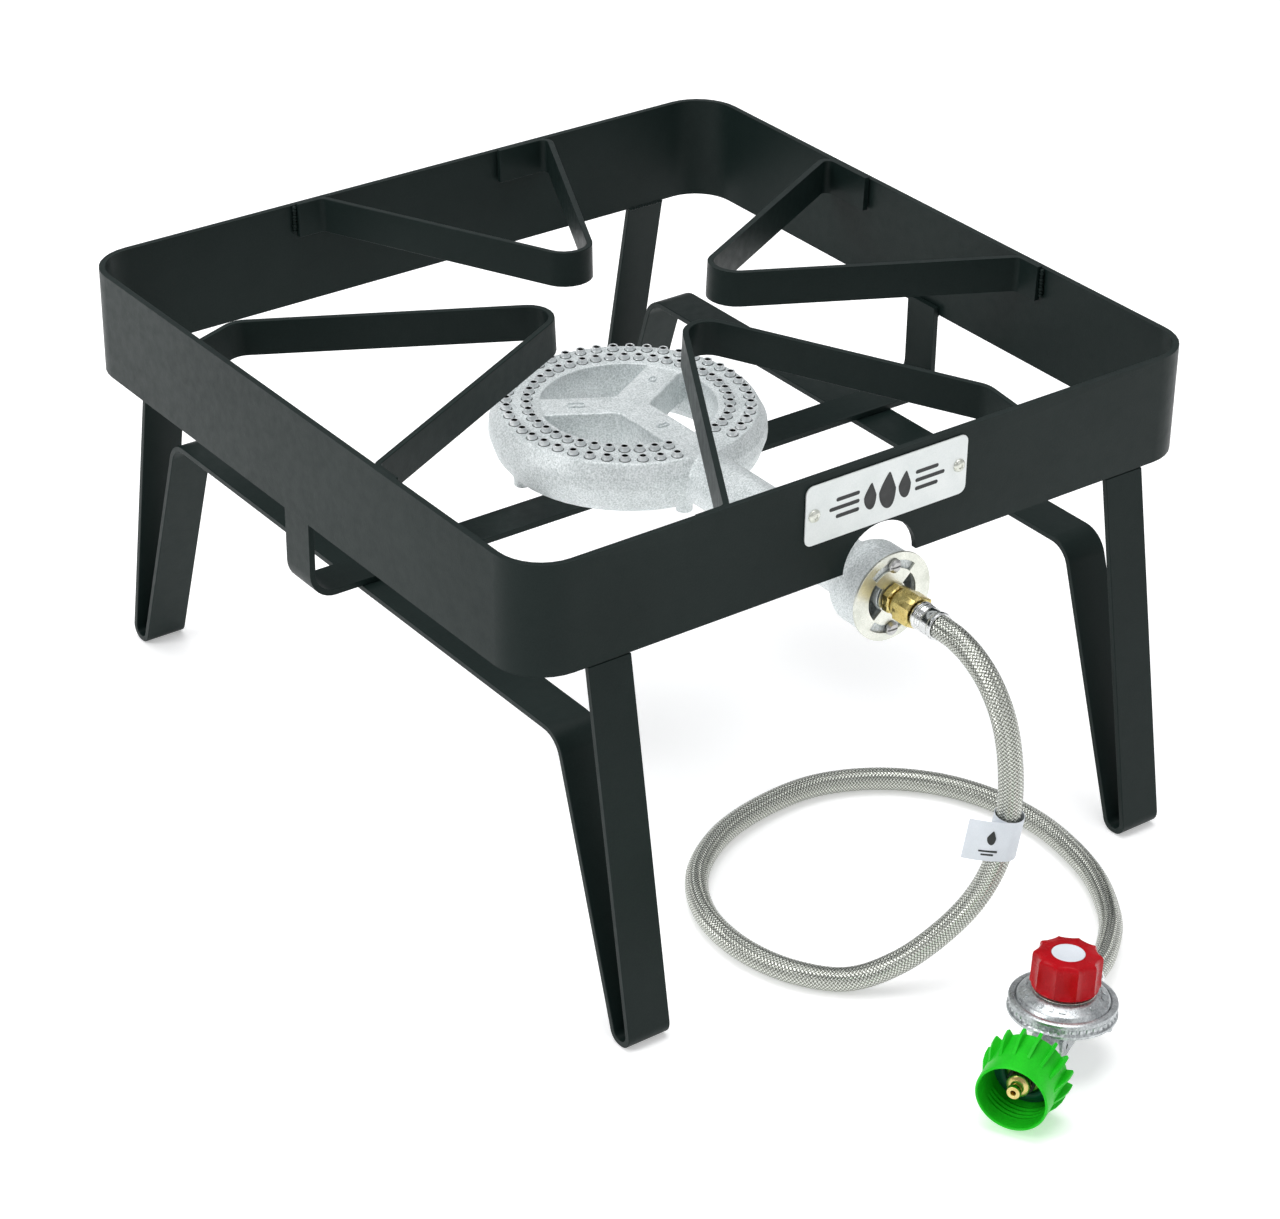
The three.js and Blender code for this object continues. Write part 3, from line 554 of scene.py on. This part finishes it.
# ---------------------------------------------------------------- name plate
def make_plate():
    """An aluminium plate with generic flames and bars printed on it."""
    middle = Matrix.Translation((PLATE_MIDDLE[0], -203.5, PLATE_MIDDLE[1]))
    facing = middle @ Matrix.Rotation(math.radians(90), 4, "X")
    refined("name_plate", "plate", 0.25, 3)
    built = bmesh.new()
    print_low, print_high = 0.78, 0.9
    for offset, size in ((-10.5, 1.1), (0.0, 1.5), (10.5, 1.1)):
        prism(built, drop_outline((offset, 0), size), print_low, print_high, facing)
    for side in (-1, 1):
        for y, width in ((-4.4, 14), (0, 18), (4.4, 14)):
            bar_middle = side * (17 + width / 2)
            prism(built, rounded_outline(width, 2.0, 0.95, (bar_middle, y), 4), print_low, print_high, facing)
    bmesh.ops.recalc_face_normals(built, faces=built.faces)
    add_piece("plate_print", mesh_from("plate_print", built), "ink", "base", [])


make_plate()

for rivet_name, sign in (("plate_rivet_left", -1), ("plate_rivet_right", 1)):
    rivet_x = PLATE_MIDDLE[0] + sign * RIVET_SPAN
    place = Matrix.Translation((rivet_x, -204.3, PLATE_MIDDLE[1])) @ Matrix.Rotation(math.radians(90), 4, "X")
    turned_piece(
        f"{rivet_name}_head",
        [(0, -6.1), (1.4, -6.1), (1.4, -0.25), (3.4, -0.25), (3.35, 0.3), (3.0, 0.95), (2.3, 1.45),
         (1.5, 1.65), (1.2, 1.45), (1.0, 1.0), (0, 0.95)],
        place, "zinc", [rivet_name], 40, 0.08)


# ---------------------------------------------------------------- burner
def make_burner():
    """The casting with melted-together corners, from the CAD shape by a voxel remesh."""
    built = bmesh.new()
    built.from_mesh(frame["nodes"]["burner_casting"].data)
    bmesh.ops.remove_doubles(built, verts=built.verts, dist=2e-6)
    raw = bpy.data.meshes.new("burner_raw")
    built.to_mesh(raw)
    built.free()
    source = bpy.data.objects.new("burner_raw", raw)
    bpy.context.collection.objects.link(source)
    remesh = source.modifiers.new("melt", "REMESH")
    remesh.mode = "VOXEL"
    remesh.voxel_size = 0.7 * MM
    smooth = source.modifiers.new("flow", "SMOOTH")
    smooth.factor = 0.5
    smooth.iterations = 1
    evaluated = source.evaluated_get(bpy.context.evaluated_depsgraph_get())
    mesh = bpy.data.meshes.new_from_object(evaluated)
    bpy.data.objects.remove(source)
    mesh.polygons.foreach_set("use_smooth", [True] * len(mesh.polygons))
    mesh.materials.clear()
    for vertex in mesh.vertices:
        if vertex.co.z > BURNER_TOP * MM and 45 * MM < vertex.co.xy.length < 76 * MM:
            vertex.co.z = BURNER_TOP * MM
    add_piece("burner_cast_body", mesh, "cast", "base", ["burner_casting"])


make_burner()


def make_casting_marks():
    """Faint raised outlines on the spokes, as a mould leaves them."""
    built = bmesh.new()
    marks = ((150, 27, (9.0, 4.4), 0.8), (30, 31, (5.6, 3.8), 1.7), (270, 30, (3.0, 7.0), 0.8))
    steps = ((0, 0, -0.3), (0.2, 0.1, 0.3), (0.7, 0.3, 0.3), (0.9, 0.4, -0.3))
    for angle, along, (width, height), corner in marks:
        at = Matrix.Rotation(math.radians(angle), 4, "Z") @ Matrix.Translation((along, 0, BURNER_TOP))
        outlines = []
        for cut, tighter, z in steps:
            outline = rounded_outline(width - cut, height - cut, corner - tighter)
            outlines.append([built.verts.new(at @ Vector((x, y, z))) for x, y in outline])
        for low, high in zip(outlines, outlines[1:] + outlines[:1]):
            for i in range(len(low)):
                j = (i + 1) % len(low)
                built.faces.new((low[i], low[j], high[j], high[i]))
    bmesh.ops.recalc_face_normals(built, faces=built.faces)
    add_piece("casting_marks", mesh_from("casting_marks", built), "cast", "base", [])


make_casting_marks()


def make_ports():
    """Raised conical ports in two rings; each hole is near-black and each foot dark as painted shade, each
    body lighter as a painted highlight.
    """
    built = bmesh.new()
    profile = [
        (0, 0.6), (1.55, 0.6), (1.6, 2.35), (1.8, 2.6), (2.25, 2.6), (2.45, 2.3), (2.5, 0.75), (2.65, 0.3),
        (3.15, 0.05), (3.2, -1.2), (0, -1.2),
    ]
    # The raised body of each port is painted lighter than the casting as a painted highlight.
    bright, hole, foot = 0, 1, 2
    paint = [hole, hole, bright, bright, bright, bright, bright, foot, foot, foot]
    for circle, count in BURNER_PORTS:
        for index in range(count):
            angle = math.radians(PORT_START + PORT_SWEEP * index / (count - 1))
            at = Matrix.Translation((circle * math.cos(angle), circle * math.sin(angle), BURNER_TOP))
            revolve(built, profile, at, 16, paint=paint)
    bmesh.ops.recalc_face_normals(built, faces=built.faces)
    mesh = mesh_from("burner_ports", built, 50)
    piece = add_piece("burner_ports", mesh, "port", "base", [])
    # Slot 1: the hole's wall and floor are painted near-black as painted shade.
    piece.data.materials.append(MATERIALS["port_hole_shade"])
    # Slot 2: the foot of each port is painted dark as painted shade round its base.
    piece.data.materials.append(MATERIALS["port_foot_shade"])
    return piece


make_ports()


# ---------------------------------------------------------------- shutter and gas fittings
refined("air_shutter", "zinc", 0.2, 2)
refined("shutter_screw_top", "steel", 0.15, 2)
refined("shutter_screw_bottom", "steel", 0.15, 2)
refined("mount_washer", "zinc", 0.15, 2)
refined("mount_bolt", "zinc", 0.3, 2)


def chamfered_hex(built, flats, low, high, matrix, bore=0.0):
    """A hexagonal nut with its corners turned off at both ends."""
    corner = flats / math.sqrt(3)
    sides = 72

    def hex_radius(angle):
        local = (angle + math.pi / 6) % (math.pi / 3) - math.pi / 6
        return flats / 2 / math.cos(local)

    drop = (corner - flats / 2) * 0.62
    profile = [(bore, low), (flats / 2 * 0.95, low), (corner, low + drop), (corner, high - drop),
               (flats / 2 * 0.95, high), (bore, high)]

    def shape(angle, index, radius):
        if index in (2, 3):
            return hex_radius(angle)
        return radius

    revolve(built, profile, matrix, sides, shape)


def orifice_extra(built):
    chamfered_hex(built, 14.3, -219.0, -214.2, ALONG_Y, 5.0)
    for thread in range(5):
        at = -225.2 + 1.1 * thread
        revolve(built, [(5.0, at), (5.45, at + 0.3), (5.45, at + 0.5), (5.0, at + 0.8)], ALONG_Y, 40)


turned_piece(
    "orifice_spud_detail",
    [(2.0, -226), (4.0, -226), (5.1, -224.6), (5.1, -217), (5.6, -217), (5.6, -212.6), (3.9, -212.5),
     (3.9, -204), (0.6, -204), (0.6, -206), (2.0, -206)],
    ALONG_Y, "brass", ["orifice_spud"], 48, 0.1, extra=orifice_extra)


def flare_extra(built):
    chamfered_hex(built, 15.9, -233.4, -222.6, ALONG_Y, 6.2)


turned_piece(
    "flare_nut_detail",
    [(6.1, -220.5), (7.2, -220.5), (7.7, -221.2), (7.7, -222.8), (6.1, -222.8)],
    ALONG_Y, "brass", ["flare_nut"], 48, 0.1, extra=flare_extra)


def crimp_profile(low, high):
    """A pressed ferrule: a rolled lip at each end and shallow crimp grooves where there is room for them."""
    upper_lip = [(3.4, 0), (6.3, 0), (6.9, 0.4), (7.2, 1.0), (7.2, 2.4), (6.7, 3.0)]
    grooves = [(6.9, 4.2), (6.5, 5.0), (6.9, 5.8), (6.5, 6.6), (6.9, 7.4)]
    lower_lip = [(6.6, 3.2), (7.1, 2.6), (7.3, 1.6), (7.2, 0.5), (6.7, 0), (3.4, 0)]
    points = [(radius, high - drop) for radius, drop in upper_lip]
    points += [(radius, high - drop) for radius, drop in grooves if high - drop > low + 3.5]
    points += [(radius, low + rise) for radius, rise in lower_lip]
    return points


turned_piece(
    "hose_ferrule_detail", crimp_profile(-249.0, -234.2), ALONG_Y, "chrome", ["hose_ferrule"], 64, 0.12)
turned_piece(
    "outlet_ferrule_detail", crimp_profile(34.4, 46.0), INLET, "chrome", ["outlet_ferrule"], 64, 0.12)
refined("hose_stem", "brass", 0.15, 2)


def outlet_hex_extra(built):
    chamfered_hex(built, 15.0, 28.4, 34.0, INLET, 3.0)


turned_piece(
    "outlet_fitting_detail", [(2.4, 28.3), (6.6, 28.3), (6.6, 33.9), (2.4, 33.9)],
    INLET, "brass", ["outlet_fitting"], 48, 0.1, extra=outlet_hex_extra)


# ---------------------------------------------------------------- regulator
refined("regulator_body", "die", 0.8, 3)


def bonnet_marks(built):
    """A broken ring of plain raised dashes on the bonnet's cone."""
    for index in range(22):
        if index in (3, 4, 13, 14):
            continue
        turn = Matrix.Rotation(2 * math.pi * index / 22, 4, "Z")
        tilt = Matrix.Translation((18.4, 0, 39.35)) @ Matrix.Rotation(math.radians(33), 4, "Y")
        width = 2.0 if index % 3 else 3.2
        prism(built, rounded_outline(2.2, width, 0.3, (0, 0), 2), 0, 0.5, REGULATOR @ turn @ tilt)


turned_piece(
    "bonnet_detail",
    [(20, 33.3), (24.4, 33.3), (24.4, 35.2), (22.9, 35.3), (22.3, 36.3), (21.6, 37.6), (20.9, 38.1),
     (20.2, 38.3), (18.4, 39.5), (16.4, 40.7), (13.6, 41.0), (12.0, 41.2), (8.1, 41.2), (8.1, 39.5),
     (15.5, 39), (18.8, 36.5)],
    REGULATOR, "die", ["bonnet"], 96, 0.15, extra=bonnet_marks)


def neck_shape(angle, index, radius):
    """The thread that the knob runs on."""
    if 2 <= index <= 13:
        return radius + 0.28 * math.cos(angle + index * math.pi)
    return radius


turned_piece(
    "bonnet_neck_detail",
    [(8.1, 41.5), (10.4, 41.5), *[(10.2, 42.2 + 0.95 * i) for i in range(12)], (10.2, 53.8), (8.1, 53.8)],
    REGULATOR, "die", ["bonnet_neck"], 64, 0, shape=neck_shape)


def make_bonnet_collar():
    """A bright washer under the knob."""
    built = bmesh.new()
    revolve(built, [(10.8, 41.2), (15.0, 41.2), (15.2, 41.35), (15.1, 41.55), (10.8, 41.6)], REGULATOR, 72)
    bmesh.ops.recalc_face_normals(built, faces=built.faces)
    return add_piece(
        "bonnet_collar", mesh_from("bonnet_collar", built), "zinc", "base", [])


make_bonnet_collar()


def crimp_shape(angle, index, radius):
    """A row of pressed notches round the waist of the crimped rim."""
    if index in (5, 6) and math.sin(angle * 44) > 0.3:
        return radius - 0.7
    return radius


turned_piece(
    "crimp_ring_detail",
    [(24.9, 29.0), (26.0, 28.9), (26.3, 29.4), (26.2, 30.4), (25.5, 31.0), (25.3, 31.6), (25.3, 33.2),
     (25.7, 33.9), (26.0, 34.8), (25.7, 35.9), (24.7, 36.5), (23.0, 36.5), (22.7, 36.1), (22.7, 35.7),
     (24.9, 35.5)],
    REGULATOR, "die", ["crimp_ring"], 264, 0, shape=crimp_shape)


def knob_shape(angle, index, radius):
    """Ten hollow flutes with narrow ridges between them, on the sides only."""
    depth = {2: 0.6, 3: 0.9, 4: 1.0, 5: 1.0, 6: 1.0, 7: 1.0, 8: 0.95, 9: 0.8, 10: 0.4}.get(index, 0)
    across = 2 * (10 * angle / (2 * math.pi) % 1) - 1
    return radius - 1.9 * depth * (1 - abs(across) ** 2.4)


turned_piece(
    "adjusting_knob_detail",
    [(11, 43.4), (16.0, 43.3), (16.7, 43.8), (16.8, 45.2), (16.6, 47.0), (16.55, 50.0), (16.55, 54.0),
     (16.5, 58.0), (16.2, 59.4), (15.3, 60.3), (14.0, 60.6), (8.4, 60.6), (8.0, 60.2), (8.0, 60.0),
     (0, 60.0)],
    REGULATOR, "red", ["adjusting_knob"], 160, 0, shape=knob_shape)

turned_piece(
    "knob_disc_detail",
    [(0, 60.02), (7.9, 60.02), (7.9, 60.35), (7.6, 60.5), (6.9, 60.45), (6.7, 60.38), (0, 60.38)],
    REGULATOR, "paper", ["knob_disc"], 64, 0)


def nut_shape(angle, index, radius):
    """A rolled thread deep inside the nut."""
    if 13 <= index <= 20:
        return radius + 0.35 * math.cos(angle + index * math.pi)
    return radius


def nut_ribs(built):
    for index in range(16):
        turn = Matrix.Rotation(2 * math.pi * (index + 0.5) / 16, 4, "Z")
        lie = NUT @ turn @ Matrix.Rotation(math.radians(90), 4, "X")
        outline = [(17.0, NUT_REAR), (20.9, NUT_REAR), (21.2, NUT_REAR - 0.4), (21.1, NUT_REAR - 5),
                   (20.2, NUT_REAR - 10), (17.9, NUT_MOUTH + 10.5), (17.0, NUT_MOUTH + 10)]
        prism(built, outline, -0.8, 0.8, lie)


turned_piece(
    "cylinder_nut_detail",
    [(5.6, NUT_REAR), (17.6, NUT_REAR), (18.2, NUT_REAR - 0.7), (18.0, NUT_REAR - 4), (17.5, NUT_MOUTH + 8),
     (17.7, NUT_MOUTH + 6), (17.5, NUT_MOUTH + 0.8), (16.9, NUT_MOUTH),
     *[(16.2, NUT_MOUTH + 0.8 + 1.4 * i) for i in range(13)],
     (16.0, NUT_REAR - 4.7), (5.6, NUT_REAR - 4.7)],
    NUT, "green", ["cylinder_nut"], 96, 0.3, shape=nut_shape, extra=nut_ribs)

turned_piece(
    "nut_bushing_detail",
    [(9.6, 1.5), (15.6, 1.5), (15.6, 0.4), (13.8, -0.2), (12.6, -1.6), (11.4, -2.1), (10.4, -2.1),
     (9.6, -1.4)],
    NUT, "dark_green", ["nut_bushing"], 72, 0.1)

TIP = NUT_COLLAR + NUT_MOUTH
turned_piece(
    "inlet_nipple_detail",
    [(1.2, -23), (4.3, -23), (4.3, -49), (8.2, -49), (8.4, -49.4), (8.4, -50.8), (8.0, -51), (5.4, -51.4),
     (5.2, -52), (5.2, TIP + 15), (4.7, TIP + 14.5), (5.0, TIP + 13.6), (5.6, TIP + 12), (5.6, TIP + 9.6),
     (5.0, TIP + 9), (3.3, TIP + 8.6), (2.8, TIP + 8), (3.1, TIP + 6), (3.5, TIP + 5),
     (3.5, TIP + 3.8), (3.1, TIP + 3.1), (1.4, TIP + 3), (1.2, TIP + 3.4)],
    INLET, "brass", ["inlet_nipple"], 48, 0.08)
turned_piece(
    "nipple_seal_detail",
    [(5.4, TIP + 14), (6.3, TIP + 14), (6.8, TIP + 14.5), (6.8, TIP + 15.5), (6.3, TIP + 16),
     (5.4, TIP + 16)],
    INLET, "rubber", ["nipple_seal"], 48, 0.05)


# ---------------------------------------------------------------- hose tag
def make_tag():
    """A folded flag with a generic mark: its collar goes round the hose and its leaf curls a little."""
    start = round(TAG_PLACE * (len(HOSE_LINE) - 1))
    at = HOSE_LINE[start]
    after = HOSE_LINE[start + 2]
    up = (at - after).normalized()
    across = Vector((0.81, -0.59, 0))
    across = (across - up * across.dot(up)).normalized()
    out = up.cross(across)
    section = []
    for i in range(41):
        angle = math.pi * (0.5 - 1.92 * i / 40)
        section.append((7.0 * math.cos(angle), 7.0 * math.sin(angle)))
    leaf = [(-19.6 + 19.6 * i / 12, 7.0 + 0.9 * math.sin(math.pi * i / 12)) for i in range(12)]
    path = leaf + section
    built = bmesh.new()
    rows = []
    for i, (x, y) in enumerate(path):
        before = Vector(path[max(i - 1, 0)])
        after_point = Vector(path[min(i + 1, len(path) - 1)])
        tangent = (after_point - before).normalized()
        normal = Vector((-tangent.y, tangent.x))
        rows.append([
            built.verts.new(at + across * (x + normal.x * t) - out * (y + normal.y * t) + up * h)
            for h, t in ((-11.3, 0.0), (11.3, 0.0), (11.3, 0.32), (-11.3, 0.32))
        ])
    for a, b in zip(rows, rows[1:]):
        for k in range(4):
            n = (k + 1) % 4
            built.faces.new((a[k], a[n], b[n], b[k]))
    built.faces.new(rows[0])
    built.faces.new(rows[-1][::-1])
    plain_faces = len(built.faces)

    facing = Matrix.Translation(at) @ Matrix((across, up, -out)).transposed().to_4x4()
    prism(built, drop_outline((-7.5, 2.2), 0.62), 7.7, 8.34, facing)
    for height, width in ((-5.6, 9.0), (-7.6, 6.0)):
        prism(built, rounded_outline(width, 0.9, 0.4, (-8.0, height), 4), 7.7, 8.34, facing)
    built.faces.ensure_lookup_table()
    for face in built.faces[plain_faces:]:
        face.material_index = 1
    bmesh.ops.recalc_face_normals(built, faces=built.faces)
    mesh = mesh_from("hose_tag", built, 40)
    piece = add_piece("hose_tag_leaf", mesh, "paper", "base", ["hose_tag"])
    piece.data.materials.append(MATERIALS["ink"])
    return piece


tag_piece = make_tag()


# ---------------------------------------------------------------- pieces hidden inside the regulator
INNER_FINISHES = {
    "valve_seat": "brass", "lever_pin": "steel", "valve_lever": "steel", "diaphragm": "rubber",
    "diaphragm_plate": "zinc", "spring_button": "zinc", "pressure_spring": "steel",
}
for inner_node, inner_material in INNER_FINISHES.items():
    data = frame["nodes"][inner_node].data
    data.materials.clear()
    data.materials.append(MATERIALS[inner_material])


# ---------------------------------------------------------------- floor and light
def make_floor():
    built = bmesh.new()
    bmesh.ops.create_grid(built, x_segments=1, y_segments=1, size=4000)
    bmesh.ops.translate(built, verts=built.verts, vec=(0, 0, -0.4))
    floor = bpy.data.objects.new("floor", mesh_from("floor", built))
    bpy.context.collection.objects.link(floor)
    shader = Shader("pale_floor", 0.0, 0.8)
    shader.colour(shader.noise(900, 2), [(0.0, (0.93, 0.93, 0.93)), (1.0, (0.96, 0.96, 0.96))])
    shader.principled.inputs["Emission Color"].default_value = (1, 1, 1, 1)
    shader.principled.inputs["Emission Strength"].default_value = 0.34
    floor.data.materials.append(shader.material)


def area_light(name, location, size, power, target=(0, 0, 0.15)):
    data = bpy.data.lights.new(name, "AREA")
    data.shape = "DISK"
    data.size = size
    data.energy = power
    lamp = bpy.data.objects.new(name, data)
    lamp.location = location
    lamp.rotation_euler = (Vector(target) - Vector(location)).to_track_quat("-Z", "Y").to_euler()
    bpy.context.collection.objects.link(lamp)


make_floor()
area_light("top", (0.2, 0.3, 5.0), 4.0, 128)
area_light("key", (-4.0, 0.6, 3.2), 2.2, 84)
area_light("front", (0.9, -3.8, 2.6), 3.0, 14)

world = bpy.data.worlds.new("studio")
world.use_nodes = True
world.node_tree.nodes["Background"].inputs["Color"].default_value = (0.97, 0.98, 1.0, 1)
world.node_tree.nodes["Background"].inputs["Strength"].default_value = 0.5
bpy.context.scene.world = world
bpy.context.scene.view_settings.view_transform = "Standard"
